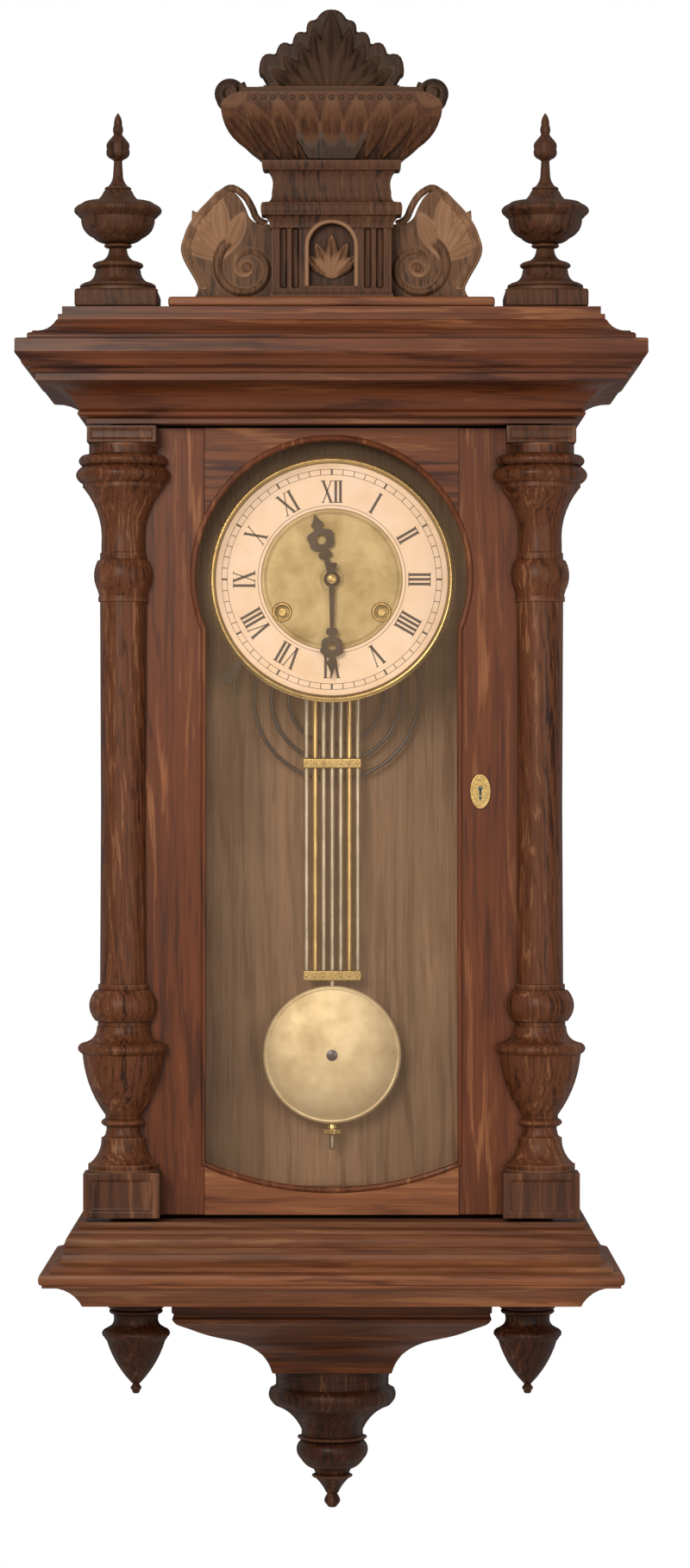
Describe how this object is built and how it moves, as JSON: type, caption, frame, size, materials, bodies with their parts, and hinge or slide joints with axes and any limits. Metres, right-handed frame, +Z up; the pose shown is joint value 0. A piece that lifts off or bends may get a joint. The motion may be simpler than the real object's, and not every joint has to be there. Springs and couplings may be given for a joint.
{
  "type": "vienna regulator clock",
  "caption": "Spring-driven wall clock in a glazed wooden case with half columns, a carved crest, urn finials, a gridiron pendulum, a coil gong and a round dial.",
  "frame": {"origin": "the hanger at the top of the backboard's rear face, on the wall plane", "axes": "+Z up, +Y into the wall, so the dial faces -Y and +X is to a viewer's right"},
  "size_m": [0.468, 0.2163, 1.1489],
  "materials": {
    "walnut": "satin varnish, straight grain",
    "dark_walnut": "dark satin varnish",
    "carved_walnut": "worn matt varnish",
    "brass": "lacquered, fine brushing",
    "gilt_brass": "matt gilding",
    "steel": "brushed",
    "pendulum_rods": "brushed, brass and steel",
    "blued_steel": "blued and polished",
    "enamel": "cream enamel",
    "glass": "clear"
  },
  "bodies": {
    "case": {"backboard": "walnut", "hanger_plate": "brass", "side_left": "walnut", "side_right": "walnut", "side_glass_left": "glass", "side_glass_right": "glass", "top_board": "walnut", "bottom_board": "walnut", "cornice": "dark_walnut", "base_moulding": "walnut", "apron": "walnut", "drop": "dark_walnut", "crest_plinth": "dark_walnut", "crest_panel": "carved_walnut", "crest_pillar": "carved_walnut", "crest_capital": "carved_walnut", "finial_left": "carved_walnut", "finial_right": "carved_walnut", "corner_pendant_left": "dark_walnut", "corner_pendant_right": "dark_walnut", "hinge_upper_case_leaf": "brass", "hinge_lower_case_leaf": "brass", "back_plate": "brass", "front_plate": "brass", "gong_coil": "steel", "gong_post": "steel", "movement_bracket": "steel", "dial_plate": "gilt_brass", "chapter_ring": "enamel", "bezel": "brass", "pendulum_cock": "brass"},
    "door": {"door_stile_left": "walnut", "door_stile_right": "walnut", "door_top_rail": "walnut", "door_bottom_rail": "walnut", "door_glass": "glass", "column_left": "dark_walnut", "column_right": "dark_walnut", "hinge_upper_door_leaf": "brass", "hinge_lower_door_leaf": "brass", "lock_escutcheon": "brass"},
    "lock": {"lock_cam": "steel"},
    "centre": {"centre_wheel": "brass", "minute_hand": "blued_steel"},
    "motion": {"minute_wheel": "brass"},
    "hour": {"hour_wheel": "brass", "hour_hand": "blued_steel"},
    "going": {"going_barrel": "brass"},
    "second": {"second_wheel": "brass"},
    "third": {"third_wheel": "brass"},
    "escape": {"escape_wheel": "brass"},
    "pallets": {"pallets": "steel"},
    "strike": {"strike_barrel": "brass"},
    "pins": {"pin_wheel": "brass"},
    "fly": {"fly": "steel"},
    "hammer": {"hammer": "steel"},
    "pendulum": {"suspension_spring": "steel", "pendulum_rods": "pendulum_rods"},
    "bob": {"bob": "brass"},
    "nut": {"rating_nut": "brass"}
  },
  "joints": [
    {"name": "door_hinge", "type": "hinge", "parent": "case", "child": "door", "pos_m": [-0.1718, -0.12815, -0.3265], "axis": [0, 0, -1], "range_deg": [0, 110]},
    {"name": "lock_turn", "type": "hinge", "parent": "door", "child": "lock", "pos_m": [0.112, -0.136, -0.304], "axis": [0, -1, 0], "range_deg": [0, 90]},
    {"name": "minute_hand_turn", "type": "hinge", "parent": "case", "child": "centre", "pos_m": [0, -0.07, -0.142], "axis": [0, 1, 0], "continuous": true},
    {"name": "minute_wheel_turn", "type": "hinge", "parent": "case", "child": "motion", "pos_m": [0.01018, -0.07, -0.13182], "axis": [0, 1, 0], "continuous": true},
    {"name": "hour_hand_turn", "type": "hinge", "parent": "case", "child": "hour", "pos_m": [0, -0.07, -0.142], "axis": [0, 1, 0], "continuous": true},
    {"name": "second_wheel_turn", "type": "hinge", "parent": "case", "child": "second", "pos_m": [0.02222, -0.07, -0.13916], "axis": [0, 1, 0], "continuous": true},
    {"name": "going_barrel_turn", "type": "hinge", "parent": "case", "child": "going", "pos_m": [0.038, -0.07, -0.167], "axis": [0, 1, 0], "continuous": true},
    {"name": "third_wheel_turn", "type": "hinge", "parent": "case", "child": "third", "pos_m": [-0.00765, -0.07, -0.12167], "axis": [0, 1, 0], "continuous": true},
    {"name": "escape_wheel_turn", "type": "hinge", "parent": "case", "child": "escape", "pos_m": [0, -0.07, -0.104], "axis": [0, 1, 0], "continuous": true},
    {"name": "pendulum_swing", "type": "hinge", "parent": "case", "child": "pendulum", "pos_m": [0, -0.03, -0.082], "axis": [0, 1, 0], "range_deg": [-2.5, 2.5]},
    {"name": "pallets_rock", "type": "hinge", "parent": "case", "child": "pallets", "pos_m": [0, -0.07, -0.082], "axis": [0, 1, 0], "range_deg": [-2.5, 2.5]},
    {"name": "strike_barrel_turn", "type": "hinge", "parent": "case", "child": "strike", "pos_m": [-0.038, -0.07, -0.167], "axis": [0, 1, 0], "continuous": true},
    {"name": "pin_wheel_turn", "type": "hinge", "parent": "case", "child": "pins", "pos_m": [-0.02222, -0.07, -0.13916], "axis": [0, 1, 0], "continuous": true},
    {"name": "fly_turn", "type": "hinge", "parent": "case", "child": "fly", "pos_m": [-0.03672, -0.07, -0.12171], "axis": [0, 1, 0], "continuous": true},
    {"name": "hammer_lift", "type": "hinge", "parent": "case", "child": "hammer", "pos_m": [-0.05, -0.043, -0.172], "axis": [0, 1, 0], "range_deg": [0, 20]},
    {"name": "bob_slide", "type": "slide", "parent": "pendulum", "child": "bob", "axis": [0, 0, 1], "range_m": [-0.003, 0.003]},
    {"name": "rating_nut_turn", "type": "hinge", "parent": "bob", "child": "nut", "pos_m": [0, -0.03, -0.568], "axis": [0, 0, 1], "range_deg": [-1140, 1140]}
  ],
  "couplings": [
    {"joint": "minute_wheel_turn", "follows": "minute_hand_turn", "ratio": -0.33333},
    {"joint": "hour_hand_turn", "follows": "minute_hand_turn", "ratio": 0.083333},
    {"joint": "second_wheel_turn", "follows": "minute_hand_turn", "ratio": -0.16667},
    {"joint": "going_barrel_turn", "follows": "minute_hand_turn", "ratio": 0.02381},
    {"joint": "third_wheel_turn", "follows": "minute_hand_turn", "ratio": -10.286},
    {"joint": "escape_wheel_turn", "follows": "minute_hand_turn", "ratio": 92.571},
    {"joint": "pallets_rock", "follows": "pendulum_swing", "ratio": 1},
    {"joint": "pin_wheel_turn", "follows": "strike_barrel_turn", "ratio": -7},
    {"joint": "fly_turn", "follows": "strike_barrel_turn", "ratio": 42},
    {"joint": "rating_nut_turn", "follows": "bob_slide", "rad_per_m": 6283.2}
  ]
}
